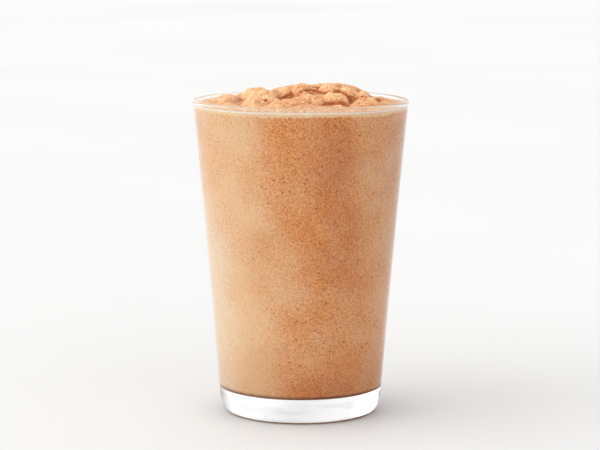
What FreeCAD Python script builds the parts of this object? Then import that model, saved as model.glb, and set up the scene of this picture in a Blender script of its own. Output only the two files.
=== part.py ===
import FreeCAD, Part
import math
import os

# Blended iced coffee in its glass tumbler.
# Millimetres, +Z up. The origin is the centre of the glass's foot, on the
# plane that the foot stands on, and Z is the glass's axis.

os.makedirs("parts", exist_ok=True)

# ---------------------------------------------------------------- the glass
HEIGHT = 128.3            # foot to the top of the lip
RIM_R = 44.0              # outside of the lip's bead
LIP_R = 1.1               # the lip is fully rounded
BEAD_PROUD = 0.08         # how far the bead stands out of the wall
BEAD_BLEND = 2.6          # height over which the bead runs out into the wall
WALL_BASE_R = 32.64       # outside of the wall, run down to the foot's plane
WALL_HOLLOW = 0.38        # the wall's line bows in by this at half height
HEEL_IN = 2.9             # the foot is drawn in by this at its plane
HEEL_UP = 8.5             # height over which it is drawn in, along an ellipse
FOOT_RING_R = 28.0        # inside of the flat ring that the glass stands on
PUNT_DEPTH = 0.5          # the underside is hollowed by this on the axis
FLOOR_Z = 10.3            # top of the thick base, inside
WALL_T_BASE = 2.0         # wall thickness at the inside floor
FLOOR_ROUND = 2.0         # rounding between the inside floor and the wall

# ---------------------------------------------------------------- the drink
FILL_Z = 126.8            # mean height at which the slush meets the wall
FILL_TILT = 0.25          # it stands a little higher at the back
CROWN = 0.9               # rise of the plain surface from wall to axis
CREASE = 1.3              # width of the soft crease between two lobes
FADE = 0.14               # share of the radius over which lumps die out
SURFACE_N = 61            # stations across the surface, each way
SURFACE_HALF = 45.0       # the surface is laid out this far from the axis
LUMP_WAVE = 10.5          # longest wave of the small lumps
LUMP_RISE = 0.17          # height of the longest wave
LUMP_STEP = 0.93          # each wave is shorter and lower by this
LUMP_COUNT = 14

# Lobes of the mound: centre x, y; half-length, half-width; turn in degrees;
# top height; how square the shoulder is.
LOBES = [
    (-17.2, 3.0, 9.0, 9.5, 8.0, 132.5, 1.25),       # left crown
    (-11.6, 8.0, 7.8, 9.0, -10.0, 131.35, 1.25),    # saddle behind it
    (-11.0, -1.5, 6.0, 6.5, 0.0, 131.1, 1.25),      # the saddle's front
    (-0.2, 4.0, 14.5, 11.0, 4.0, 133.85, 1.35),     # middle crown
    (11.8, 3.0, 14.3, 12.0, -6.0, 134.4, 1.35),     # peak
    (18.8, 0.0, 7.05, 9.0, -8.0, 133.9, 1.40),      # peak's right end
    (23.0, -1.5, 8.95, 9.5, -20.0, 131.85, 1.40),   # right shoulder
    (13.2, -14.0, 7.6, 6.4, 8.0, 131.75, 1.80),     # blunt end of the fold in front
    (5.5, -15.0, 12.5, 6.4, 16.0, 131.0, 1.30),     # the fold's long back
    (-2.0, -20.0, 14.0, 6.0, 9.0, 129.7, 1.25),     # tongue below the fold
    (-14.5, -12.0, 9.5, 8.0, -15.0, 130.6, 1.25),   # front left swell
    (25.0, -13.0, 8.0, 9.0, 35.0, 129.9, 1.25),     # front right swell
    (-29.5, 6.0, 8.0, 14.0, 10.0, 128.7, 1.20),     # left bank
    (2.0, 22.0, 22.0, 10.0, 0.0, 130.1, 1.20),      # back bank
    (1.0, 1.0, 27.0, 23.0, 0.0, 130.6, 1.30),       # broad dome under them all
    (-31.5, 20.0, 4.5, 3.6, 0.0, 128.9, 1.25),      # knob by the wall
    (-23.0, 25.5, 4.2, 3.6, 0.0, 128.9, 1.25),      # second knob
    (31.0, 4.0, 6.5, 13.0, 0.0, 128.2, 1.20),       # right bank
    (4.0, -30.0, 24.0, 6.0, 0.0, 127.9, 1.20),      # front bank
]

# Hollows between the folds: centre x, y; half-length, half-width; turn; depth.
HOLLOWS = [
    (-5.6, -9.6, 3.6, 5.2, 20.0, 2.5),
    (15.0, -21.0, 7.5, 3.0, 6.0, 1.7),
    (20.6, -10.5, 2.2, 5.0, -12.0, 1.9),
    (31.0, -2.0, 3.2, 4.0, 0.0, 1.2),
    (-26.5, -10.0, 4.5, 5.0, 0.0, 0.5),
]


def V(r, z):
    return FreeCAD.Vector(r, 0.0, z)


# ------------------------------------------------------- the glass's section
WALL_TOP_R = RIM_R - BEAD_PROUD


def wall_r(z):
    """Outside radius of the wall at height z."""
    t = z / HEIGHT
    return (WALL_BASE_R + (WALL_TOP_R - WALL_BASE_R) * t
            - 4.0 * WALL_HOLLOW * t * (1.0 - t))


def wall_slope(z):
    t = z / HEIGHT
    return ((WALL_TOP_R - WALL_BASE_R) - 4.0 * WALL_HOLLOW * (1.0 - 2.0 * t)) / HEIGHT


def heel_r(z):
    """Outside radius below HEEL_UP: the wall drawn in along a quarter ellipse."""
    t = 1.0 - z / HEEL_UP
    return wall_r(z) - HEEL_IN * (1.0 - math.sqrt(max(0.0, 1.0 - t * t)))


LIP_Z = HEIGHT - LIP_R                    # centre of the lip's round
LIP_INNER_R = RIM_R - 2.0 * LIP_R         # inner wall's radius at the lip


def inner_r(z):
    """Inside radius of the wall at height z, up to the lip's centre."""
    s = (z - FLOOR_Z) / (LIP_Z - FLOOR_Z)
    top = wall_r(LIP_Z) - LIP_INNER_R
    thick = WALL_T_BASE + (top - WALL_T_BASE) * s
    return wall_r(z) - thick


def inner_slope(z):
    d = 0.01
    return (inner_r(z + d) - inner_r(z - d)) / (2.0 * d)


def tangent_round(radius_at, slope_at, z_low, rad):
    """Centre and wall point of a round of radius rad between a level floor at
    z_low and the wall line."""
    zt = z_low + rad
    for _ in range(20):
        s = slope_at(zt)
        n = math.hypot(1.0, s)
        zt = z_low + rad - rad * s / n
    rc = radius_at(zt) - rad / n
    return rc, zt, (rc + rad / n)


def line_through(radius_at, z0, z1, n=7):
    """Smooth edge that follows the wall's radius from z0 to z1."""
    c = Part.BSplineCurve()
    c.interpolate([V(radius_at(z0 + (z1 - z0) * k / (n - 1)), z0 + (z1 - z0) * k / (n - 1))
                   for k in range(n)])
    return c.toShape()


# Outside: punt, flat foot ring, heel, wall, bead, lip.
punt_rad = (FOOT_RING_R ** 2 + PUNT_DEPTH ** 2) / (2.0 * PUNT_DEPTH)
punt_mid_r = FOOT_RING_R * 0.55
punt_mid_z = PUNT_DEPTH - punt_rad + math.sqrt(punt_rad ** 2 - punt_mid_r ** 2)
bead_z = LIP_Z - BEAD_BLEND
foot_c = heel_r(0.0)                      # outside of the flat ring

# the heel is a quarter of an ellipse, as one conic, tangent to the ring and the wall
heel = Part.BSplineCurve()
heel.buildFromPolesMultsKnots(
    [V(foot_c, 0), V(wall_r(HEEL_UP) - wall_slope(HEEL_UP) * HEEL_UP, 0), V(wall_r(HEEL_UP), HEEL_UP)],
    [3, 3], [0.0, 1.0], False, 2, [1.0, math.sqrt(0.5), 1.0])

outer = [
    Part.Arc(V(0, PUNT_DEPTH), V(punt_mid_r, punt_mid_z), V(FOOT_RING_R, 0)).toShape(),
    Part.LineSegment(V(FOOT_RING_R, 0), V(foot_c, 0)).toShape(),
    heel.toShape(),
    line_through(wall_r, HEEL_UP, bead_z),
]
bead = Part.BSplineCurve()
bead.interpolate(Points=[V(wall_r(bead_z), bead_z), V(RIM_R, LIP_Z)],
                 InitialTangent=FreeCAD.Vector(wall_slope(bead_z), 0, 1),
                 FinalTangent=FreeCAD.Vector(0, 0, 1))
outer.append(bead.toShape())
outer.append(Part.Arc(V(RIM_R, LIP_Z), V(RIM_R - LIP_R, HEIGHT), V(LIP_INNER_R, LIP_Z)).toShape())

# Inside: wall, floor round, floor.
floor_c, floor_zt, floor_rt = tangent_round(inner_r, inner_slope, FLOOR_Z, FLOOR_ROUND)
ang_i = math.atan2(floor_zt - (FLOOR_Z + FLOOR_ROUND), floor_rt - floor_c)
ang_im = (-math.pi / 2 + ang_i) / 2


def inner_edges():
    """Wall, floor round and floor of the inside, from the lip to the axis."""
    rnd = Part.Arc(V(floor_rt, floor_zt),
                   V(floor_c + FLOOR_ROUND * math.cos(ang_im),
                     FLOOR_Z + FLOOR_ROUND + FLOOR_ROUND * math.sin(ang_im)),
                   V(floor_c, FLOOR_Z))
    flat = Part.LineSegment(V(floor_c, FLOOR_Z), V(0, FLOOR_Z))
    return [line_through(inner_r, LIP_Z, floor_zt), rnd.toShape(), flat.toShape()]


def turned(edges):
    """Solid of revolution about Z from a closed run of edges in the XZ plane."""
    wire = Part.Wire(edges)
    face = Part.Face(wire)
    solid = face.revolve(FreeCAD.Vector(0, 0, 0), FreeCAD.Vector(0, 0, 1), 360)
    if solid.ShapeType != "Solid":
        solid = solid.Solids[0]
    return solid


glass = turned(outer + inner_edges()
               + [Part.LineSegment(V(0, FLOOR_Z), V(0, PUNT_DEPTH)).toShape()])


# ------------------------------------------------------- the drink's surface
def smooth_max(a, b, k):
    h = min(1.0, max(0.0, 0.5 + 0.5 * (a - b) / k))
    return b * (1.0 - h) + a * h + k * h * (1.0 - h)


def turned_uv(x, y, cx, cy, deg):
    t = math.radians(deg)
    dx, dy = x - cx, y - cy
    return dx * math.cos(t) + dy * math.sin(t), -dx * math.sin(t) + dy * math.cos(t)


def plain_level(x, y):
    """The slush without its mound: nearly level, a little higher at the back."""
    rho = min(math.hypot(x, y) / LIP_INNER_R, 1.05)
    phi = math.atan2(y, x)
    edge = (FILL_TILT * math.sin(phi) + 0.10 * math.sin(3 * phi + 0.7)
            + 0.07 * math.sin(5 * phi + 2.1) - 0.08)
    return FILL_Z + edge * min(rho, 1.0) ** 2 + CROWN * (1.0 - rho ** 2)


def surface_z(x, y):
    """Height of the drink's top: lobes melted together over the plain level,
    hollows between them and small lumps that die out towards the wall."""
    rho = math.hypot(x, y) / LIP_INNER_R
    base = plain_level(x, y)
    z = base
    for cx, cy, a, b, deg, top, sq in LOBES:
        u, v = turned_uv(x, y, cx, cy, deg)
        q = (u / a) ** 2 + (v / b) ** 2
        z = smooth_max(z, max(FILL_Z + (top - FILL_Z) * (1.0 - q ** sq), 100.0), CREASE)
    for cx, cy, a, b, deg, depth in HOLLOWS:
        u, v = turned_uv(x, y, cx, cy, deg)
        z -= depth * math.exp(-((u / a) ** 2 + (v / b) ** 2))
    fade = min(1.0, max(0.0, (1.0 - rho) / FADE))
    fade = fade * fade * (3.0 - 2.0 * fade)
    lump = 0.0
    for k in range(LUMP_COUNT):
        d = k * 2.39996
        wave = LUMP_WAVE * LUMP_STEP ** k
        rise = LUMP_RISE * LUMP_STEP ** k
        lump += rise * math.sin(2 * math.pi / wave * (x * math.cos(d) + y * math.sin(d))
                                + 1.7 * k * k + 0.6)
    return base * (1.0 - fade) + (z + lump) * fade


rows = []
for i in range(SURFACE_N):
    x = -SURFACE_HALF + 2.0 * SURFACE_HALF * i / (SURFACE_N - 1)
    row = []
    for j in range(SURFACE_N):
        y = -SURFACE_HALF + 2.0 * SURFACE_HALF * j / (SURFACE_N - 1)
        row.append(FreeCAD.Vector(x, y, surface_z(x, y)))
    rows.append(row)
top_surface = Part.BSplineSurface()
top_surface.interpolate(rows)

# The filling: the inside of the glass run up past the lip on the same wall
# line, cut off along the surface.
run_up = 16.0
low = inner_edges()
s_top = (LIP_INNER_R - inner_r(LIP_Z - 4.0)) / 4.0
up_edge = Part.LineSegment(V(LIP_INNER_R, LIP_Z), V(LIP_INNER_R + s_top * run_up, LIP_Z + run_up)).toShape()
lid_edge = Part.LineSegment(V(0, LIP_Z + run_up), V(LIP_INNER_R + s_top * run_up, LIP_Z + run_up)).toShape()
axis_edge = Part.LineSegment(V(0, FLOOR_Z), V(0, LIP_Z + run_up)).toShape()
filling = turned([lid_edge, up_edge] + low + [axis_edge])
above = top_surface.toShape().extrude(FreeCAD.Vector(0, 0, 40))
coffee = filling.cut(above)
if coffee.ShapeType != "Solid":
    coffee = coffee.Solids[0]

for name, shape in (("glass", glass), ("iced_coffee", coffee)):
    shape.exportStep("parts/%s.step" % name)
    bb = shape.BoundBox
    print(name, shape.ShapeType, "valid", shape.isValid(), "volume ml %.2f" % (shape.Volume / 1000.0),
          "faces", len(shape.Faces), "z %.3f..%.3f" % (bb.ZMin, bb.ZMax), "x %.3f..%.3f" % (bb.XMin, bb.XMax))
print("foot ring %.2f..%.2f  inner floor radius %.2f  inner wall at the floor round %.2f  overlap %.4f" % (
    FOOT_RING_R, foot_c, floor_c, floor_rt, glass.common(coffee).Volume))
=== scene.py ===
import math

import bpy
import numpy as np
from mathutils import Matrix, Vector


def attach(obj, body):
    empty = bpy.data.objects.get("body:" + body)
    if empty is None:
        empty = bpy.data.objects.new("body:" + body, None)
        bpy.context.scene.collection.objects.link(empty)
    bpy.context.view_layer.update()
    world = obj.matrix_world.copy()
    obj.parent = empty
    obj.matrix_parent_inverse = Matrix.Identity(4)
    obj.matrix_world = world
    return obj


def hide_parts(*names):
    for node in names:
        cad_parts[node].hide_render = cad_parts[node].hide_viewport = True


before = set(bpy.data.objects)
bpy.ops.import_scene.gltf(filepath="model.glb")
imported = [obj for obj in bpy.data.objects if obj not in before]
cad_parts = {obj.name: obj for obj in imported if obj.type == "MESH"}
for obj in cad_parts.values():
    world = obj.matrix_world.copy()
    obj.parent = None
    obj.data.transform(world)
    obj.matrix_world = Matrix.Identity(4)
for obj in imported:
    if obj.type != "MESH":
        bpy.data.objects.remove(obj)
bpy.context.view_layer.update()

scene = bpy.context.scene
MM = 0.001

# ------------------------------------------------------------ named sizes, mm
HEIGHT = 128.3
RIM_R = 44.0
LIP_R = 1.1
BEAD_PROUD = 0.08
BEAD_BLEND = 2.6
WALL_BASE_R = 32.64
WALL_HOLLOW = 0.38
HEEL_IN = 2.9
HEEL_UP = 8.5
FOOT_RING_R = 28.0
PUNT_DEPTH = 0.5
FLOOR_Z = 10.3
WALL_T_BASE = 2.0
FLOOR_ROUND = 2.0
INTO_WALL = 0.22          # the drink reaches this far into the glass

FILL_Z = 126.8
FILL_TILT = 0.25
CROWN = 0.9
CREASE = 1.3
FADE = 0.14

WALL_TOP_R = RIM_R - BEAD_PROUD
LIP_Z = HEIGHT - LIP_R
LIP_INNER_R = RIM_R - 2.0 * LIP_R


def wall_r(z):
    t = z / HEIGHT
    return WALL_BASE_R + (WALL_TOP_R - WALL_BASE_R) * t - 4.0 * WALL_HOLLOW * t * (1.0 - t)


def wall_slope(z):
    t = z / HEIGHT
    return ((WALL_TOP_R - WALL_BASE_R) - 4.0 * WALL_HOLLOW * (1.0 - 2.0 * t)) / HEIGHT


def heel_r(z):
    """The wall is drawn in below HEEL_UP, along a quarter of an ellipse."""
    t = 1.0 - z / HEEL_UP
    return wall_r(z) - HEEL_IN * (1.0 - math.sqrt(max(0.0, 1.0 - t * t)))


def inner_r(z):
    s = (z - FLOOR_Z) / (LIP_Z - FLOOR_Z)
    top = wall_r(LIP_Z) - LIP_INNER_R
    return wall_r(z) - (WALL_T_BASE + (top - WALL_T_BASE) * s)


def inner_slope(z):
    return (inner_r(z + 0.01) - inner_r(z - 0.01)) / 0.02


def tangent_round(radius_at, slope_at, z_low, rad):
    zt = z_low + rad
    for _ in range(20):
        s = slope_at(zt)
        n = math.hypot(1.0, s)
        zt = z_low + rad - rad * s / n
    rc = radius_at(zt) - rad / n
    return rc, zt, rc + rad / n


def arc(cr, cz, rad, a0, a1, n):
    return [(cr + rad * math.cos(a), cz + rad * math.sin(a)) for a in np.linspace(a0, a1, n)]


# ------------------------------------------------------------ glass's section
def outside_profile():
    """From the axis under the foot, out and up to the top of the lip."""
    pts = []
    rad = (FOOT_RING_R ** 2 + PUNT_DEPTH ** 2) / (2 * PUNT_DEPTH)
    for r in np.linspace(0.0, FOOT_RING_R - 1.2, 22):
        pts.append((r, PUNT_DEPTH - rad + math.sqrt(rad ** 2 - r ** 2)))
    # the hollow runs out softly into the flat ring
    z_in = pts[-1][1]
    for t in np.linspace(0.0, 1.0, 8)[1:]:
        pts.append((FOOT_RING_R - 1.2 + 1.8 * t, z_in * (1 - t) ** 2))
    for r in np.linspace(FOOT_RING_R + 0.6, heel_r(0.0), 5)[1:-1]:
        pts.append((r, 0.0))
    for a in np.linspace(-math.pi / 2, 0.0, 30):
        z = HEEL_UP * (1.0 + math.sin(a))
        pts.append((heel_r(z), z))
    bz = LIP_Z - BEAD_BLEND
    for z in np.linspace(HEEL_UP, bz, 46)[1:]:
        pts.append((wall_r(z), z))
    r0, s0 = wall_r(bz), wall_slope(bz) * BEAD_BLEND
    for t in np.linspace(0, 1, 12)[1:-1]:
        h00, h10 = 2 * t ** 3 - 3 * t ** 2 + 1, t ** 3 - 2 * t ** 2 + t
        h01 = -2 * t ** 3 + 3 * t ** 2
        pts.append((h00 * r0 + h10 * s0 + h01 * RIM_R, bz + BEAD_BLEND * t))
    pts += arc(RIM_R - LIP_R, LIP_Z, LIP_R, 0.0, math.pi, 25)
    return pts


def inside_profile(grow=0.0, top=LIP_Z, include_top=True):
    """From just under the lip down the wall, round and along the floor to the axis."""
    rc, zt, rt = tangent_round(inner_r, inner_slope, FLOOR_Z, FLOOR_ROUND)
    pts = []
    for z in np.linspace(top, zt, 30):
        pts.append((inner_r(z) + grow, z))
    a1 = math.atan2(zt - (FLOOR_Z + FLOOR_ROUND), rt - rc)
    pts += arc(rc, FLOOR_Z + FLOOR_ROUND, FLOOR_ROUND + grow, a1, -math.pi / 2, 18)[1:]
    for r in np.linspace(rc, 0.0, 16)[1:]:
        pts.append((r, FLOOR_Z - grow))
    return pts if include_top else pts[1:]


def lathe(name, profile, segments):
    """Closed surface of revolution; the profile starts and ends on the axis."""
    prof = [(r * MM, z * MM) for r, z in profile]
    body = prof[1:-1]
    n = len(body)
    ang = np.linspace(0, 2 * math.pi, segments, endpoint=False)
    verts = []
    for r, z in body:
        verts += [(r * math.cos(a), r * math.sin(a), z) for a in ang]
    faces = []
    for i in range(n - 1):
        for j in range(segments):
            k = (j + 1) % segments
            faces.append((i * segments + j, i * segments + k, (i + 1) * segments + k, (i + 1) * segments + j))
    first, last = len(verts), len(verts) + 1
    verts += [(0, 0, prof[0][1]), (0, 0, prof[-1][1])]
    for j in range(segments):
        k = (j + 1) % segments
        faces.append((first, k, j))
        faces.append((last, (n - 1) * segments + j, (n - 1) * segments + k))
    me = bpy.data.meshes.new(name)
    me.from_pydata(verts, [], faces)
    me.validate()
    me.polygons.foreach_set("use_smooth", [True] * len(me.polygons))
    ob = bpy.data.objects.new(name, me)
    scene.collection.objects.link(ob)
    return ob


# ------------------------------------------------------------ the slush's top
LOBES = [
    (-17.2, 3.0, 9.0, 9.5, 8.0, 132.5, 1.25),
    (-11.6, 8.0, 7.8, 9.0, -10.0, 131.35, 1.25),
    (-11.0, -1.5, 6.0, 6.5, 0.0, 131.1, 1.25),
    (-0.2, 4.0, 14.5, 11.0, 4.0, 133.85, 1.35),
    (11.8, 3.0, 14.3, 12.0, -6.0, 134.4, 1.35),
    (18.8, 0.0, 7.05, 9.0, -8.0, 133.9, 1.40),
    (23.0, -1.5, 8.95, 9.5, -20.0, 131.85, 1.40),
    (13.2, -14.0, 7.6, 6.4, 8.0, 131.75, 1.80),
    (5.5, -15.0, 12.5, 6.4, 16.0, 131.0, 1.30),
    (-2.0, -20.0, 14.0, 6.0, 9.0, 129.7, 1.25),
    (-14.5, -12.0, 9.5, 8.0, -15.0, 130.6, 1.25),
    (25.0, -13.0, 8.0, 9.0, 35.0, 129.9, 1.25),
    (-29.5, 6.0, 8.0, 14.0, 10.0, 128.7, 1.20),
    (2.0, 22.0, 22.0, 10.0, 0.0, 130.1, 1.20),
    (1.0, 1.0, 27.0, 23.0, 0.0, 130.6, 1.30),
    (-31.5, 20.0, 4.5, 3.6, 0.0, 128.9, 1.25),
    (-23.0, 25.5, 4.2, 3.6, 0.0, 128.9, 1.25),
    (31.0, 4.0, 6.5, 13.0, 0.0, 128.2, 1.20),
    (4.0, -30.0, 24.0, 6.0, 0.0, 127.9, 1.20),
]
HOLLOWS = [
    (-5.6, -9.6, 3.6, 5.2, 20.0, 2.5),
    (15.0, -21.0, 7.5, 3.0, 6.0, 1.7),
    (20.6, -10.5, 2.2, 5.0, -12.0, 1.9),
    (31.0, -2.0, 3.2, 4.0, 0.0, 1.2),
    (-26.5, -10.0, 4.5, 5.0, 0.0, 0.5),
]


# Creases and small dimples: points along each, its width, depth and how much
# painted shade darkens the drink there.
CREASES = [
    ([(-9.0, -5.4, 128.5), (-7.2, -5.5, 128.6), (-5.6, -4.8, 129.3), (-4.0, -3.8, 130.3)], 1.3, 0.7, 1.0),
    ([(-13.8, -16.5, 129.5), (-14.3, -16.2, 129.2)], 0.7, 0.5, 0.9),
    ([(-18.0, -16.4, 128.9), (-15.6, -17.5, 128.8)], 1.2, 0.15, 0.35),
    ([(-29.6, -4.3, 128.2), (-24.8, -2.5, 127.9)], 1.1, 0.2, 0.55),
    ([(-33.0, 9.4, 128.4), (-32.5, 9.0, 128.4)], 0.8, 0.1, 0.4),
    ([(-23.0, 0.4, 130.0), (-22.4, 0.4, 130.0)], 0.7, 0.15, 0.4),
    ([(-0.2, -3.4, 131.6), (1.6, -3.0, 132.2), (4.4, -1.6, 132.2), (6.2, -2.6, 131.8), (7.8, -4.2, 131.5),
      (10.2, -5.4, 131.3), (13.0, -5.4, 131.6), (15.0, -4.3, 131.7), (17.4, -6.0, 131.3)], 0.7, 0.55, 0.75),
    ([(17.4, -6.0, 131.3), (19.0, -7.0, 130.2), (19.8, -7.9, 129.0), (20.4, -12.0, 128.0)], 0.9, 0.6, 0.85),
    ([(-0.4, -4.9, 129.8), (2.0, -4.9, 130.0), (5.0, -3.6, 130.7)], 0.6, 0.3, 0.45),
    ([(-0.8, -1.6, 133.0), (3.6, -0.2, 133.2), (7.0, -0.1, 133.0)], 0.7, 0.2, 0.45),
    ([(10.4, -19.4, 127.9), (12.4, -18.6, 128.1), (14.8, -17.4, 128.7), (16.8, -16.8, 128.1)], 1.3, 0.5, 0.85),
    ([(21.6, -14.0, 128.7), (23.4, -12.4, 129.7), (25.0, -7.4, 130.2)], 0.55, 0.35, 0.65),
    ([(22.4, -18.7, 128.3), (24.4, -18.4, 128.9), (26.0, -16.4, 129.6)], 0.55, 0.3, 0.6),
    ([(22.0, -14.0, 129.0), (26.0, -12.0, 129.6)], 2.6, 0.0, 0.3),
    ([(28.8, -2.6, 129.2), (29.6, -6.0, 128.6), (31.0, 0.2, 127.6)], 1.6, 0.6, 1.0),
    ([(14.6, -1.0, 134.0), (16.2, -0.6, 133.8)], 0.7, 0.15, 0.45),
    # the side turned away
    ([(-22.0, 12.0, 129.6), (-14.0, 15.5, 130.6), (-6.0, 17.0, 131.4), (1.0, 15.0, 131.8)], 0.8, 0.6, 0.8),
    ([(4.0, 24.0, 129.8), (11.0, 20.0, 130.4), (17.0, 13.0, 130.9)], 0.9, 0.6, 0.8),
    ([(-9.0, 25.0, 129.6), (-13.0, 24.0, 129.3)], 1.1, 0.5, 0.9),
    ([(25.0, 12.0, 128.6), (22.0, 19.0, 128.6)], 1.1, 0.5, 0.8),
]


def creases(x, y, z):
    """Depth of the creases in mm, and the strength of their painted shade, at points of the top."""
    depth, crease_shade = np.zeros_like(x), np.zeros_like(x)
    run = 0.3                                   # they run on further in y
    for points, width, deep, strength in CREASES:
        near = np.full_like(x, 1e9)
        for (ax, ay, az), (bx, by, bz) in zip(points[:-1], points[1:]):
            vx, vy, vz = bx - ax, (by - ay) * run, bz - az
            px, py, pz = x - ax, (y - ay) * run, z - az
            t = np.clip((px * vx + py * vy + pz * vz) / (vx * vx + vy * vy + vz * vz), 0.0, 1.0)
            near = np.minimum(near, (px - t * vx) ** 2 + (py - t * vy) ** 2 + (pz - t * vz) ** 2)
        g = np.exp(-near / width ** 2)
        depth = np.maximum(depth, g * deep)
        crease_shade = np.maximum(crease_shade, g * strength)
    return depth, crease_shade


def smooth_max(a, b, k):
    h = np.clip(0.5 + 0.5 * (a - b) / k, 0.0, 1.0)
    return b * (1 - h) + a * h + k * h * (1 - h)


def turned_uv(x, y, cx, cy, deg):
    t = math.radians(deg)
    return ((x - cx) * math.cos(t) + (y - cy) * math.sin(t),
            -(x - cx) * math.sin(t) + (y - cy) * math.cos(t))


def plain_level(x, y):
    rho = np.minimum(np.hypot(x, y) / LIP_INNER_R, 1.05)
    phi = np.arctan2(y, x)
    edge = FILL_TILT * np.sin(phi) + 0.10 * np.sin(3 * phi + 0.7) + 0.07 * np.sin(5 * phi + 2.1) - 0.08
    return FILL_Z + edge * np.minimum(rho, 1.0) ** 2 + CROWN * (1 - rho ** 2)


def waves(x, y, longest, rise, step, count, turn, seed):
    total = np.zeros_like(x)
    for k in range(count):
        d = k * turn + seed
        w = longest * step ** k
        total += rise * step ** k * np.sin(2 * math.pi / w * (x * math.cos(d) + y * math.sin(d)) + 1.7 * k * k + 0.6 + seed)
    return total


def surface_z(x, y):
    rho = np.hypot(x, y) / LIP_INNER_R
    base = plain_level(x, y)
    z = base
    for cx, cy, a, b, deg, top, sq in LOBES:
        u, v = turned_uv(x, y, cx, cy, deg)
        q = (u / a) ** 2 + (v / b) ** 2
        z = smooth_max(z, np.maximum(FILL_Z + (top - FILL_Z) * (1 - q ** sq), 100.0), CREASE)
    for cx, cy, a, b, deg, depth in HOLLOWS:
        u, v = turned_uv(x, y, cx, cy, deg)
        z = z - depth * np.exp(-((u / a) ** 2 + (v / b) ** 2))
    fade = np.clip((1 - rho) / FADE, 0, 1)
    fade = fade * fade * (3 - 2 * fade)
    z = z + waves(x, y, 10.5, 0.17, 0.93, 14, 2.39996, 0.0)
    return base * (1 - fade) + z * fade


def lattice_noise(x, y, z, size, seed):
    """Smooth gradient noise with cells of this size, about -0.7 to 0.7."""
    p = [np.asarray(c, float) / size + 17.3 * seed for c in (x, y, z)]
    cell = [np.floor(c).astype(np.int64) for c in p]
    f = [c - k for c, k in zip(p, cell)]
    w = [t * t * t * (t * (6 * t - 15) + 10) for t in f]
    total = 0.0
    for i in (0, 1):
        for j in (0, 1):
            for k in (0, 1):
                h = ((cell[0] + i) * 374761393 + (cell[1] + j) * 668265263
                     + (cell[2] + k) * 1442695041 + seed * 97531) & 0xFFFFFFFF
                h = ((h ^ (h >> 13)) * 1274126177) & 0xFFFFFFFF
                h = h ^ (h >> 16)
                g = [((h >> s) & 1023) / 511.5 - 1.0 for s in (0, 10, 20)]
                dot = g[0] * (f[0] - i) + g[1] * (f[1] - j) + g[2] * (f[2] - k)
                total = total + dot * (w[0] if i else 1 - w[0]) * (w[1] if j else 1 - w[1]) * (w[2] if k else 1 - w[2])
    return total


def relief(x, y, z):
    """Rounded clumps of ice with sharp creases between them, in five sizes, mm."""
    wx = x + 1.6 * lattice_noise(x, y, z, 5.0, 11) + 0.5 * lattice_noise(x, y, z, 1.9, 13)
    wy = y + 1.6 * lattice_noise(x, y, z, 5.0, 12) + 0.5 * lattice_noise(x, y, z, 1.9, 14)
    d = np.zeros_like(x)
    for size, rise, seed, lift in CLUMPS:
        n = lattice_noise(wx, wy * 1.15, z * 1.3, size, seed)
        d = d + rise * (np.minimum(np.abs(n) * 3.2, 1.15) ** 0.8 - lift)
    d = d + 0.22 * lattice_noise(wx, wy, z, 0.75, 31)
    return d


CLUMPS = [
    (7.0, 0.10, 1, 0.50),
    (3.6, 0.15, 2, 0.50),
    (2.0, 0.22, 3, 0.50),
    (1.15, 0.25, 4, 0.50),
]
RELIEF_FADE = 0.07


def top_point(x, y):
    """Position of the finished top over a place in plan: the broad form, moved
    along its own normal by the relief."""
    e = 0.15
    z = surface_z(x, y)
    nx = -(surface_z(x + e, y) - surface_z(x - e, y)) / (2 * e)
    ny = -(surface_z(x, y + e) - surface_z(x, y - e)) / (2 * e)
    n = np.sqrt(nx * nx + ny * ny + 1)
    rho = np.hypot(x, y) / LIP_INNER_R
    fade = np.clip((1 - rho) / RELIEF_FADE, 0, 1)
    fade = fade * fade * (3 - 2 * fade)
    up = np.clip((z - plain_level(x, y)) / 2.0, 0, 1)
    d = relief(x, y, z) * fade * (0.35 + 0.65 * up)
    d = d - creases(x, y, z)[0] * fade
    side = d * fade * np.minimum(1.0, 1.6 * (1.02 - rho))
    return x + side * nx / n, y + side * ny / n, z + d / n


def blurred(grid, step, reach):
    """Gaussian mean of a square grid over this reach, both in mm."""
    f = np.fft.fftfreq(grid.shape[0], step)
    g = np.exp(-2 * (math.pi * f * reach) ** 2)
    return np.real(np.fft.ifft2(np.fft.fft2(grid) * g[:, None] * g[None, :]))


def hollowness(x, y):
    """How far the finished top lies below its surroundings there, 0 to 1; level is 0.5."""
    step, half = 0.3, 48.0
    line = np.arange(-half, half, step)
    gx, gy = np.meshgrid(line, line, indexing="ij")
    rho = np.hypot(gx, gy)
    k = np.minimum(1.0, (LIP_INNER_R - 0.1) / np.maximum(rho, 1e-6))
    px, py, pz = top_point(gx * k, gy * k)
    total = np.zeros_like(pz)
    for reach, weight in ((0.35, 1.5), (0.8, 0.9), (1.8, 0.32), (3.6, 0.08)):
        total += weight * (blurred(pz, step, reach) - pz)
    u, v = (x + half) / step, (y + half) / step
    i, j = np.floor(u).astype(int), np.floor(v).astype(int)
    a, b = u - i, v - j
    t = (total[i, j] * (1 - a) * (1 - b) + total[i + 1, j] * a * (1 - b)
         + total[i, j + 1] * (1 - a) * b + total[i + 1, j + 1] * a * b)
    t = t * np.clip((1 - np.hypot(x, y) / LIP_INNER_R) / 0.05, 0, 1)
    # shallower where the surface is nearly level
    t = t * (0.5 + 0.5 * np.clip((surface_z(x, y) - plain_level(x, y)) / 2.0, 0, 1))
    return np.clip(0.5 + 0.62 * t, 0, 1)


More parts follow.
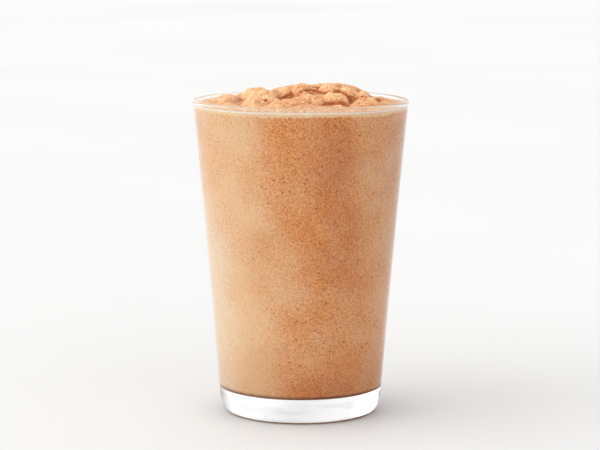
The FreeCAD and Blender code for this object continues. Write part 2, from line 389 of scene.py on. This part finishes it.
def slush_piece(name):
    """Filling and mound as one closed mesh that reaches just into the glass. The
    rings of the top have more points the wider they are."""
    edge_r = LIP_INNER_R + INTO_WALL
    steps = [(0.0, 6.0, 72, 17), (6.0, 12.0, 144, 18), (12.0, 24.0, 288, 38), (24.0, edge_r, 576, 56)]
    rows = []                                   # (radius, number of points)
    for r0, r1, count, n in steps:
        rows += [(r0 + (r1 - r0) * (i + 1) / n, count) for i in range(n)]
    xs, ys, starts = [], [], []
    total = 0
    for r, count in rows:
        a = np.arange(count) * 2 * math.pi / count
        xs.append(r * np.cos(a))
        ys.append(r * np.sin(a))
        starts.append(total)
        total += count
    x, y = np.concatenate(xs), np.concatenate(ys)
    px, py, pz = top_point(x, y)
    c = top_point(np.array([0.0]), np.array([0.0]))
    verts = np.stack([px, py, pz], -1)
    count = rows[-1][1]
    a = np.arange(count) * 2 * math.pi / count
    edge_z = pz[-count:]
    side_rows, below = [], [np.zeros(len(x))]
    for d in (0.04, 0.2, 0.4, 0.7, 1.1, 1.6, 2.2):
        r = np.array([inner_r(z) for z in edge_z - d]) + INTO_WALL
        side_rows.append(np.stack([r * np.cos(a), r * np.sin(a), edge_z - d], -1))
    for r, z in inside_profile(grow=INTO_WALL, top=FILL_Z - 3.4)[:-1]:
        side_rows.append(np.stack([r * np.cos(a), r * np.sin(a), np.full(count, z)], -1))
    for row in side_rows:
        below.append(edge_z - row[:, 2])
        starts.append(total)
        rows.append((0.0, count))
        total += count
    bottom_z = FLOOR_Z - INTO_WALL
    verts = np.concatenate([verts] + side_rows + [np.array([[0.0, 0.0, bottom_z], [c[0][0], c[1][0], c[2][0]]])]) * MM
    bottom, crown = total, total + 1
    faces = []
    for i in range(len(rows) - 1):
        n0, n1, s0, s1 = rows[i][1], rows[i + 1][1], starts[i], starts[i + 1]
        if n0 == n1:
            j = np.arange(n0)
            k = (j + 1) % n0
            faces += np.stack([s0 + j, s1 + j, s1 + k, s0 + k], -1).tolist()
        else:                                   # twice as many points from here out
            for j in range(n0):
                k, m = (j + 1) % n0, s1 + 2 * j
                faces += [[s0 + j, m, m + 1], [s0 + j, m + 1, s0 + k], [s0 + k, m + 1, s1 + (2 * j + 2) % n1]]
    n0 = rows[0][1]
    faces += [[crown, j, (j + 1) % n0] for j in range(n0)]
    n1, s1 = rows[-1][1], starts[-1]
    faces += [[bottom, s1 + (j + 1) % n1, s1 + j] for j in range(n1)]
    me = bpy.data.meshes.new(name)
    me.from_pydata(verts.tolist(), [], faces)
    me.validate()
    me.polygons.foreach_set("use_smooth", [True] * len(me.polygons))
    # the mound's mask for painted shade and highlight: high in hollows and creases, low on ridges
    cavity = np.full(len(me.vertices), 0.5)
    cavity[: len(x)] = np.clip(hollowness(x, y) + 0.42 * creases(px, py, pz)[1], 0.0, 1.0)
    at = me.attributes.new("cavity", "FLOAT", "POINT")
    at.data.foreach_set("value", cavity.astype(np.float32))
    open_top = np.zeros(len(me.vertices))
    open_top[: len(x)] = 1.0
    open_top[crown] = 1.0
    at = me.attributes.new("open_top", "FLOAT", "POINT")
    at.data.foreach_set("value", open_top.astype(np.float32))
    # how far a point of the wall is below the drink's edge, 0 to 1 over 4 mm
    under = np.ones(len(me.vertices))
    under[: total] = np.clip(np.concatenate(below) / 4.0, 0.0, 1.0)
    under[crown] = 0.0
    at = me.attributes.new("below_edge", "FLOAT", "POINT")
    at.data.foreach_set("value", under.astype(np.float32))
    ob = bpy.data.objects.new(name, me)
    scene.collection.objects.link(ob)
    return ob


glass = lathe("tumbler", outside_profile() + inside_profile(0.0, LIP_Z, False), 192)
slush = slush_piece("coffee_slush")


# ------------------------------------------------------------ materials
class Tree:
    def __init__(self, name):
        self.mat = bpy.data.materials.new(name)
        self.mat.use_nodes = True
        self.nt = self.mat.node_tree
        self.bsdf = self.nt.nodes["Principled BSDF"]
        self.out = self.nt.nodes["Material Output"]

    def node(self, kind, **props):
        n = self.nt.nodes.new(kind)
        for k, v in props.items():
            setattr(n, k, v)
        return n

    def link(self, a, b):
        self.nt.links.new(a, b)


def glass_material():
    t = Tree("clear_glass")
    b = t.bsdf
    b.inputs["Roughness"].default_value = 0.0
    b.inputs["IOR"].default_value = 1.5
    b.inputs["Transmission Weight"].default_value = 1.0
    # clear wall; in the thick base, a trace of grey that is partly the glass's own tint in its depth and partly painted
    # reflection, in soft soft streaks
    pos = t.node("ShaderNodeTexCoord").outputs["Object"]
    split = t.node("ShaderNodeSeparateXYZ")
    t.link(pos, split.inputs[0])
    flat = t.node("ShaderNodeVectorMath", operation="MULTIPLY")
    t.link(pos, flat.inputs[0])
    flat.inputs[1].default_value = (0.5, 0.5, 3.0)
    grey_reflection_streak = ramp(t, noise(t, flat.outputs["Vector"], 75.0, 2.0, 0.5),
                  [(0.40, (0.68, 0.69, 0.685)), (0.56, (0.90, 0.905, 0.90))])
    deep = smooth_step(t, split.outputs[2], 0.0120, 0.0085)
    t.link(mix_colour(t, deep, (0.985, 0.99, 0.988), grey_reflection_streak), b.inputs["Base Color"])
    # the faint waviness of a pressed, fire-polished wall
    bump = t.node("ShaderNodeBump")
    bump.inputs["Strength"].default_value = 0.25
    bump.inputs["Distance"].default_value = 0.0001
    t.link(noise(t, pos, 55.0, 1.0, 0.4), bump.inputs["Height"])
    t.link(bump.outputs["Normal"], b.inputs["Normal"])
    return t.mat


def ramp(t, fac, stops, interpolation="LINEAR"):
    """Colour ramp; stops are (position, colour or grey)."""
    n = t.node("ShaderNodeValToRGB")
    n.color_ramp.interpolation = interpolation
    els = n.color_ramp.elements
    while len(els) < len(stops):
        els.new(0.5)
    for e, (pos, c) in zip(els, stops):
        e.position = pos
        e.color = (c, c, c, 1) if isinstance(c, (int, float)) else (*c, 1)
    t.link(fac, n.inputs["Fac"])
    return n.outputs["Color"]


def mix_colour(t, fac, a, b, blend="MIX"):
    n = t.node("ShaderNodeMix", data_type="RGBA", blend_type=blend)
    n.clamp_result = False
    for socket, value in ((n.inputs[0], fac), (n.inputs[6], a), (n.inputs[7], b)):
        if isinstance(value, bpy.types.NodeSocket):
            t.link(value, socket)
        elif isinstance(value, tuple):
            socket.default_value = (*value, 1)
        else:
            socket.default_value = value
    return n.outputs[2]


def maths(t, op, a, b=None, c=None, clamp=False):
    n = t.node("ShaderNodeMath", operation=op)
    n.use_clamp = clamp
    for socket, value in ((n.inputs[0], a), (n.inputs[1], b), (n.inputs[2], c)):
        if value is None:
            continue
        if isinstance(value, bpy.types.NodeSocket):
            t.link(value, socket)
        else:
            socket.default_value = value
    return n.outputs[0]


def mix_number(t, fac, a, b):
    """a where fac is 0, b where it is 1."""
    return maths(t, "ADD", maths(t, "MULTIPLY", maths(t, "SUBTRACT", 1.0, fac), a), maths(t, "MULTIPLY", fac, b))


def noise(t, vec, scale, detail=2.0, rough=0.5, distortion=0.0):
    n = t.node("ShaderNodeTexNoise")
    t.link(vec, n.inputs["Vector"])
    n.inputs["Scale"].default_value = scale
    n.inputs["Detail"].default_value = detail
    n.inputs["Roughness"].default_value = rough
    n.inputs["Distortion"].default_value = distortion
    return n.outputs["Fac"]


def voronoi(t, vec, scale, feature="F1", randomness=1.0):
    n = t.node("ShaderNodeTexVoronoi", feature=feature)
    t.link(vec, n.inputs["Vector"])
    n.inputs["Scale"].default_value = scale
    n.inputs["Randomness"].default_value = randomness
    return n


SLUSH = (0.85, 0.346, 0.079)            # against the glass
MILKY_AND_SHEEN = (0.95, 0.635, 0.36)
LEFT_SHEEN_COLOUR = (0.97, 0.79, 0.58)
SPECK = (0.38, 0.038, 0.0)
MOUND = (0.64, 0.29, 0.125)             # in the open
MOUND_PALE_AND_HIGHLIGHT = (0.84, 0.55, 0.30)
MOUND_CREASE_SHADE = (0.32, 0.072, 0.014)
FOAM = (0.98, 0.73, 0.42)
RIM_HIGHLIGHT_WHITE = (0.97, 0.93, 0.88)


# against the glass, mm: x and z of the middle, reach across and up; more milk, or less
CLOUDS = [
    (-2.0, 59.5, 15.0, 18.0, 0.52),         # the palest cloud, near the middle
    (18.0, 56.0, 9.0, 9.0, 0.32),
    (13.0, 38.0, 22.0, 12.0, 0.22),
    (2.0, 98.0, 11.0, 18.0, 0.18),
    (-7.0, 108.0, 11.0, 14.0, 0.18),
    (15.0, 84.0, 10.0, 10.0, 0.20),
    (19.0, 106.0, 12.0, 10.0, -0.65),       # deeper patches
    (-12.0, 78.0, 11.0, 9.0, -0.35),
    (9.0, 71.0, 10.0, 8.0, -0.50),
    (-14.0, 62.0, 8.0, 8.0, -0.40),
    (-13.0, 29.0, 11.0, 10.0, -0.40),
    (15.0, 16.0, 22.0, 9.0, -0.80),
]


def smooth_step(t, value, start, full):
    n = t.node("ShaderNodeMapRange", interpolation_type="SMOOTHSTEP")
    t.link(value, n.inputs["Value"])
    n.inputs["From Min"].default_value = start
    n.inputs["From Max"].default_value = full
    return n.outputs["Result"]


def slush_material():
    """Coffee slush: soft milky clouds, fine ice grain and bubbles, small dark
    coffee specks, painted sheen on the left and right; the mound has painted
    highlights on its ridges and painted shade in its creases."""
    t = Tree("coffee_slush")
    b = t.bsdf
    pos = t.node("ShaderNodeTexCoord").outputs["Object"]
    split = t.node("ShaderNodeSeparateXYZ")
    t.link(pos, split.inputs[0])
    x, y, z = split.outputs
    # how far round the glass a point is, -1 to 1, with a wandering edge
    across = maths(t, "DIVIDE", x, maths(t, "MULTIPLY_ADD", z, 0.097, 0.0296))
    drift = maths(t, "MULTIPLY_ADD", noise(t, pos, 34.0, 2.0, 0.5), 0.7, -0.35)
    lean = maths(t, "MULTIPLY", smooth_step(t, z, 0.070, 0.118), 0.17)
    across = maths(t, "ADD", maths(t, "ADD", across, drift), lean)
    # painted light and reflection make the drink pale on the left and, thinner, on the right; soft milky clouds between
    milk_and_sheen = maths(t, "MULTIPLY", smooth_step(t, across, 0.02, -0.58), 0.80)
    right_sheen = maths(t, "MULTIPLY", smooth_step(t, across, 0.50, 0.90), maths(t, "MULTIPLY", smooth_step(t, z, 0.018, 0.045), 0.36))
    cloud = ramp(t, noise(t, pos, 62.0, 2.0, 0.5), [(0.42, 0.0), (0.70, 0.34)])
    low = maths(t, "MULTIPLY", smooth_step(t, z, 0.062, 0.045), smooth_step(t, z, 0.012, 0.022))
    cloud = maths(t, "MULTIPLY_ADD", low, 0.08, cloud)
    milk_and_sheen = maths(t, "ADD", maths(t, "ADD", milk_and_sheen, right_sheen), cloud)
    loose = t.node("ShaderNodeVectorMath", operation="ADD")     # so that no cloud has a neat edge
    t.link(pos, loose.inputs[0])
    t.link(mix_colour(t, noise(t, pos, 70.0, 2.0, 0.5), (-0.006, -0.006, -0.006), (0.006, 0.006, 0.006)), loose.inputs[1])
    less = None
    for cx, cz, across_mm, up_mm, amount in CLOUDS:
        away = t.node("ShaderNodeVectorMath", operation="SUBTRACT")
        t.link(loose.outputs["Vector"], away.inputs[0])
        away.inputs[1].default_value = (cx * MM, -0.034, cz * MM)
        scaled = t.node("ShaderNodeVectorMath", operation="MULTIPLY")
        t.link(away.outputs["Vector"], scaled.inputs[0])
        scaled.inputs[1].default_value = (1 / (across_mm * MM), 1 / 0.030, 1 / (up_mm * MM))
        length = t.node("ShaderNodeVectorMath", operation="LENGTH")
        t.link(scaled.outputs["Vector"], length.inputs[0])
        puff = maths(t, "MULTIPLY", smooth_step(t, length.outputs["Value"], 1.0, 0.1), abs(amount))
        if amount > 0:
            milk_and_sheen = maths(t, "ADD", milk_and_sheen, puff)
        else:
            less = puff if less is None else maths(t, "ADD", less, puff)
    milk_and_sheen = maths(t, "MINIMUM", milk_and_sheen, 1.0, clamp=True)
    body = mix_colour(t, milk_and_sheen, SLUSH, MILKY_AND_SHEEN)
    body = mix_colour(t, maths(t, "MINIMUM", less, 1.0, clamp=True), body, mix_colour(t, 1.0, body, (0.88, 0.70, 0.52), "MULTIPLY"))
    # painted reflection, palest of all far round on the left, half way up; a little deeper low down
    left_edge_sheen = maths(t, "MULTIPLY", smooth_step(t, across, -0.55, -1.0), smooth_step(t, z, 0.100, 0.082))
    body = mix_colour(t, maths(t, "MULTIPLY", left_edge_sheen, 0.75), body, LEFT_SHEEN_COLOUR)
    body = mix_colour(t, smooth_step(t, z, 0.040, 0.008), body, mix_colour(t, 1.0, body, (0.90, 0.80, 0.72), "MULTIPLY"))
    # and painted shade in a streak right of the middle, higher up
    right_shade_streak = maths(t, "MULTIPLY", smooth_step(t, across, 0.12, 0.42), smooth_step(t, across, 0.80, 0.58))
    right_shade_streak = maths(t, "MULTIPLY", right_shade_streak, smooth_step(t, z, 0.045, 0.070))
    body = mix_colour(t, right_shade_streak, body, mix_colour(t, 1.0, body, (0.91, 0.82, 0.74), "MULTIPLY"))
    side = maths(t, "MULTIPLY", smooth_step(t, across, 0.78, 1.10), smooth_step(t, z, 0.040, 0.060))
    body = mix_colour(t, side, body, mix_colour(t, 1.0, body, (0.89, 0.84, 0.82), "MULTIPLY"))
    # painted shade: a thin dark line where the drink's foot turns in under
    wall = maths(t, "ADD", maths(t, "MULTIPLY", x, x), maths(t, "MULTIPLY", y, y))
    foot_line_shade = maths(t, "MULTIPLY", smooth_step(t, wall, 0.0290 ** 2, 0.0304 ** 2), smooth_step(t, z, 0.0120, 0.0108))
    body = mix_colour(t, foot_line_shade, body, mix_colour(t, 1.0, body, (0.50, 0.36, 0.28), "MULTIPLY"))
    # where the drink ends against the glass: a band of foam under a painted highlight, a thin white line along the edge
    under = t.node("ShaderNodeAttribute", attribute_name="below_edge").outputs["Fac"]
    wander = maths(t, "MULTIPLY_ADD", noise(t, pos, 90.0, 2.0, 0.5), 0.5, -0.25)
    under_w = maths(t, "ADD", under, wander)
    foam = maths(t, "MULTIPLY", smooth_step(t, under_w, 0.62, 0.34), 0.85)
    body = mix_colour(t, foam, body, FOAM)
    rim_highlight = smooth_step(t, under, 0.17, 0.11)
    body = mix_colour(t, rim_highlight, body, RIM_HIGHLIGHT_WHITE)
    # the mound
    cav = t.node("ShaderNodeAttribute", attribute_name="cavity").outputs["Fac"]
    tone = noise(t, pos, 160.0, 3.0, 0.6)
    mound = mix_colour(t, ramp(t, tone, [(0.42, 0.0), (0.66, 0.35)]), MOUND, MOUND_PALE_AND_HIGHLIGHT)
    mound = mix_colour(t, maths(t, "MULTIPLY", smooth_step(t, x, -0.004, -0.016), 0.30), mound, MOUND_PALE_AND_HIGHLIGHT)
    # painted shade in the hollows and creases, painted highlight on the ridges
    mound = mix_colour(t, ramp(t, cav, [(0.50, 0.0), (0.84, 0.95)]), mound, MOUND_CREASE_SHADE)
    mound = mix_colour(t, ramp(t, cav, [(0.12, 0.60), (0.44, 0.0)]), mound, MOUND_PALE_AND_HIGHLIGHT)
    mound = mix_colour(t, maths(t, "MULTIPLY", smooth_step(t, wall, 0.0355 ** 2, 0.0412 ** 2), 0.16), mound, FOAM)
    top = t.node("ShaderNodeAttribute", attribute_name="open_top").outputs["Fac"]
    col = mix_colour(t, top, body, mound)
    # fine ice grain, clearest where there is least milk and painted sheen
    grain = noise(t, pos, 1450.0, 3.0, 0.65)
    grains = mix_colour(t, 1.0, col, ramp(t, grain, [(0.36, (0.72, 0.48, 0.28)), (0.50, (1.0, 1.0, 1.0)), (0.64, (1.20, 1.50, 1.8))]), "MULTIPLY")
    inside = maths(t, "MULTIPLY", maths(t, "MULTIPLY_ADD", milk_and_sheen, -0.72, 1.0), maths(t, "MULTIPLY_ADD", foam, -0.7, 1.0))
    open_or = mix_number(t, top, inside, 0.75)
    # no grain on the painted highlight line
    rim_highlight = maths(t, "MULTIPLY", rim_highlight, maths(t, "SUBTRACT", 1.0, top))
    bare = maths(t, "SUBTRACT", 1.0, rim_highlight)
    col = mix_colour(t, maths(t, "MULTIPLY", open_or, bare), col, grains)
    # small pale bubbles
    v = voronoi(t, pos, 900.0)
    bubble = ramp(t, v.outputs["Distance"], [(0.10, 1.0), (0.34, 0.0)])
    col = mix_colour(t, maths(t, "MULTIPLY", bubble, 0.30), col, MILKY_AND_SHEEN)
    # coffee specks, in two sizes
    few = maths(t, "MULTIPLY", maths(t, "MULTIPLY_ADD", milk_and_sheen, -0.78, 1.0), bare)
    few = maths(t, "MULTIPLY", few, maths(t, "MULTIPLY_ADD", foam, -0.8, 1.0))
    few = mix_number(t, top, few, 0.22)
    for scale, size, strength in ((330.0, 0.17, 1.0), (560.0, 0.18, 0.70)):
        v = voronoi(t, pos, scale)
        dot = ramp(t, v.outputs["Distance"], [(size * 0.5, 1.0), (size, 0.0)])
        col = mix_colour(t, maths(t, "MULTIPLY", maths(t, "MULTIPLY", dot, strength), few), col, SPECK)
    t.link(col, b.inputs["Base Color"])
    b.inputs["Roughness"].default_value = 0.45
    b.inputs["IOR"].default_value = 1.35
    b.inputs["Specular IOR Level"].default_value = 0.25
    b.inputs["Subsurface Weight"].default_value = 0.25
    b.inputs["Subsurface Radius"].default_value = (1.0, 0.45, 0.22)
    b.inputs["Subsurface Scale"].default_value = 0.002
    bump = t.node("ShaderNodeBump")
    bump.inputs["Strength"].default_value = 0.5
    bump.inputs["Distance"].default_value = 0.0004
    t.link(noise(t, pos, 1500.0, 3.0, 0.6), bump.inputs["Height"])
    t.link(bump.outputs["Normal"], b.inputs["Normal"])
    return t.mat


def floor_material():
    t = Tree("pale_floor")
    pos = t.node("ShaderNodeTexCoord").outputs["Object"]
    tone = noise(t, pos, 2.5, 3.0, 0.5)
    t.link(ramp(t, tone, [(0.3, (0.705, 0.705, 0.70)), (0.7, (0.735, 0.735, 0.73))]), t.bsdf.inputs["Base Color"])
    t.bsdf.inputs["Roughness"].default_value = 0.7
    return t.mat


glass.data.materials.append(glass_material())
slush.data.materials.append(slush_material())

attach(glass, "root")
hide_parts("glass")
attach(slush, "root")
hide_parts("iced_coffee")

# ------------------------------------------------------------ floor
me = bpy.data.meshes.new("floor")
me.from_pydata([(-4, -4, -0.0002), (4, -4, -0.0002), (4, 4, -0.0002), (-4, 4, -0.0002)], [], [(0, 1, 2, 3)])
floor = bpy.data.objects.new("floor", me)
scene.collection.objects.link(floor)
floor.data.materials.append(floor_material())


# ------------------------------------------------------------ light
def studio(lamps):
    """Soft panels of light all round: (direction, where each starts, where it is full, strength)."""
    world = bpy.data.worlds.new("studio")
    scene.world = world
    world.use_nodes = True
    nt = world.node_tree
    way = nt.nodes.new("ShaderNodeTexCoord").outputs["Generated"]
    total = None
    for direction, start, full, strength in lamps:
        v = Vector(direction).normalized()
        dot = nt.nodes.new("ShaderNodeVectorMath")
        dot.operation = "DOT_PRODUCT"
        nt.links.new(way, dot.inputs[0])
        dot.inputs[1].default_value = tuple(v)
        soft = nt.nodes.new("ShaderNodeMapRange")
        soft.interpolation_type = "SMOOTHSTEP"
        soft.inputs["From Min"].default_value = start
        soft.inputs["From Max"].default_value = full
        soft.inputs["To Max"].default_value = strength
        nt.links.new(dot.outputs["Value"], soft.inputs["Value"])
        if total is None:
            total = soft.outputs["Result"]
        else:
            add = nt.nodes.new("ShaderNodeMath")
            add.operation = "ADD"
            nt.links.new(total, add.inputs[0])
            nt.links.new(soft.outputs["Result"], add.inputs[1])
            total = add.outputs[0]
    nt.links.new(total, nt.nodes["Background"].inputs["Strength"])
    nt.nodes["Background"].inputs["Color"].default_value = (1, 1, 1, 1)


studio([
    ((0.0, 0.0, 1.0), -2.0, -1.9, 0.21),        # even room light
    ((-1.0, 0.0, 0.15), 0.45, 0.85, 1.8),       # large key panel, left
    ((-0.75, -0.62, 0.25), 0.60, 0.92, 1.12),   # its near edge
    ((-0.75, 0.62, 0.15), 0.60, 0.92, 0.16),    # its far edge
    ((0.0, 1.0, 0.0), 0.15, 0.80, 0.76),        # bright backdrop
    ((0.75, 0.62, 0.15), 0.60, 0.92, 0.26),     # back right
    ((0.75, -0.62, 0.25), 0.60, 0.92, 0.75),    # fill, front right
    ((1.0, 0.0, 0.15), 0.45, 0.85, 0.35),       # weak fill, right
    ((0.0, -1.0, 0.35), 0.60, 0.95, 0.62),      # fill from the front
    ((0.0, 0.0, 1.0), 0.55, 0.95, 0.48),        # overhead
])

# ------------------------------------------------------------ camera
cam_data = bpy.data.cameras.new("camera")
cam_data.lens = 144.472
cam_data.sensor_width = 36.0
cam_data.clip_start = 0.01
cam = bpy.data.objects.new("camera", cam_data)
scene.collection.objects.link(cam)
cam.location = (-0.00028, -0.97687, 0.21303)
cam.rotation_euler = (Matrix.Rotation(math.pi / 2 - 0.1388, 3, "X") @ Matrix.Rotation(0.0016, 3, "Z")).to_euler()
scene.camera = cam
scene.view_settings.view_transform = "Standard"
